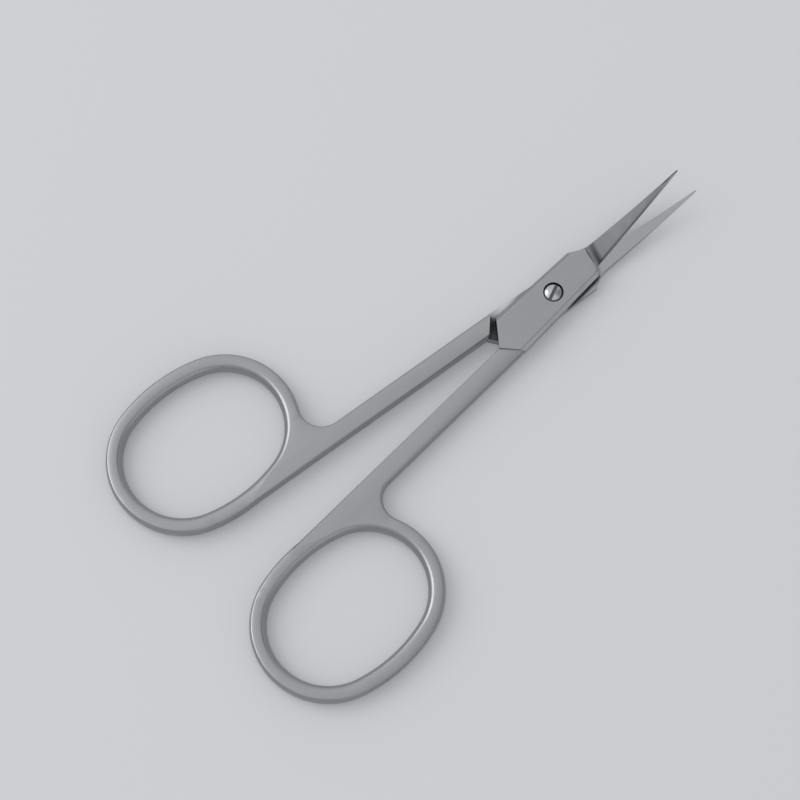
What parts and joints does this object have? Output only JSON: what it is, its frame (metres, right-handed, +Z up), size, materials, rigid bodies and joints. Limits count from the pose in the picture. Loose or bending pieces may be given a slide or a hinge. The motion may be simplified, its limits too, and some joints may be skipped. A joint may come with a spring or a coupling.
{
  "type": "cuticle scissors",
  "caption": "Slim scissors for trimming cuticles: curved pointed blades that turn on a slotted screw, stepped joint plates, straight shanks and oval finger bows.",
  "frame": {"origin": "where the screw's axis meets the plane that the scissors lie on, under the joint", "axes": "+X along the scissors towards the points, +Z up along the screw's axis, through its head; the upper half's bow is on the -Y side"},
  "size_m": [0.0979, 0.0574, 0.0044],
  "materials": {
    "satin_steel": "satin",
    "polished_steel": "polished"
  },
  "bodies": {
    "lower_half": {"lower_half": "satin_steel", "pivot_screw": "polished_steel"},
    "upper_half": {"upper_half": "satin_steel"}
  },
  "joints": [
    {"name": "pivot", "type": "hinge", "parent": "lower_half", "child": "upper_half", "pos_m": [0, 0, 0.0017], "axis": [0, 0, 1], "range_deg": [-8.8, 141.2]}
  ]
}
